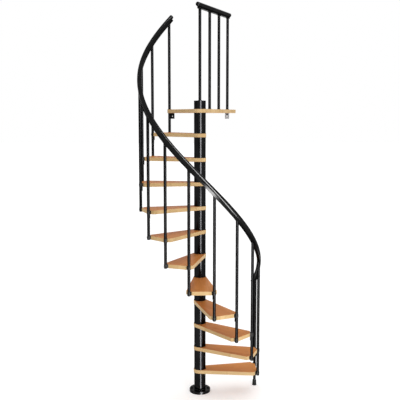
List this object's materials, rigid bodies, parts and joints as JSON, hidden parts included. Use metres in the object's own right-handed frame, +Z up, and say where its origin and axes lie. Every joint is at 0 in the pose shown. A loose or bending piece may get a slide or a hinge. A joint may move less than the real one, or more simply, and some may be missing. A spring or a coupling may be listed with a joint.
{
  "type": "spiral staircase",
  "caption": "Spiral staircase that turns clockwise on the way up: wedge-shaped wooden treads round a black steel column, slim balusters, a helical handrail and a top landing with a rail.",
  "frame": {"origin": "centre of the base flange's underside, on the floor and on the column's axis", "axes": "+Z up along the column; +Y away from the viewer of the picture, towards the floor edge that the landing meets; +X to the viewer's right, close to the first tread"},
  "size_m": [1.2, 1.2669, 3.8219],
  "materials": {
    "beech": "clear satin lacquer",
    "black_steel": "smooth black powder coat, half gloss",
    "rail_plastic": "smooth black",
    "rail_strip": "black, half gloss",
    "holder_plastic": "moulded black",
    "zinc_steel": "zinc plated",
    "foot_rubber": "matt black"
  },
  "bodies": {
    "root": {"base_flange": "black_steel", "centre_pole": "black_steel", "column_spacers": "black_steel", "column_head": "black_steel", "tread_01": "beech", "tread_02": "beech", "tread_03": "beech", "tread_04": "beech", "tread_05": "beech", "tread_06": "beech", "tread_07": "beech", "tread_08": "beech", "tread_09": "beech", "tread_10": "beech", "tread_11": "beech", "landing": "beech", "baluster_00": "black_steel", "baluster_01": "black_steel", "baluster_02": "black_steel", "baluster_03": "black_steel", "baluster_04": "black_steel", "baluster_05": "black_steel", "baluster_06": "black_steel", "baluster_07": "black_steel", "baluster_08": "black_steel", "baluster_09": "black_steel", "baluster_10": "black_steel", "baluster_11": "black_steel", "landing_baluster_0": "black_steel", "landing_baluster_1": "black_steel", "landing_baluster_2": "black_steel", "landing_baluster_3": "black_steel", "handrail": "rail_plastic", "handrail_strip": "rail_strip", "landing_rail": "rail_plastic", "landing_rail_strip": "rail_strip", "handrail_caps": "rail_plastic", "landing_rail_caps": "rail_plastic", "baluster_holders": "holder_plastic", "levelling_foot": "foot_rubber", "floor_bracket_left": "black_steel", "floor_bracket_right": "zinc_steel"}
  },
  "joints": []
}
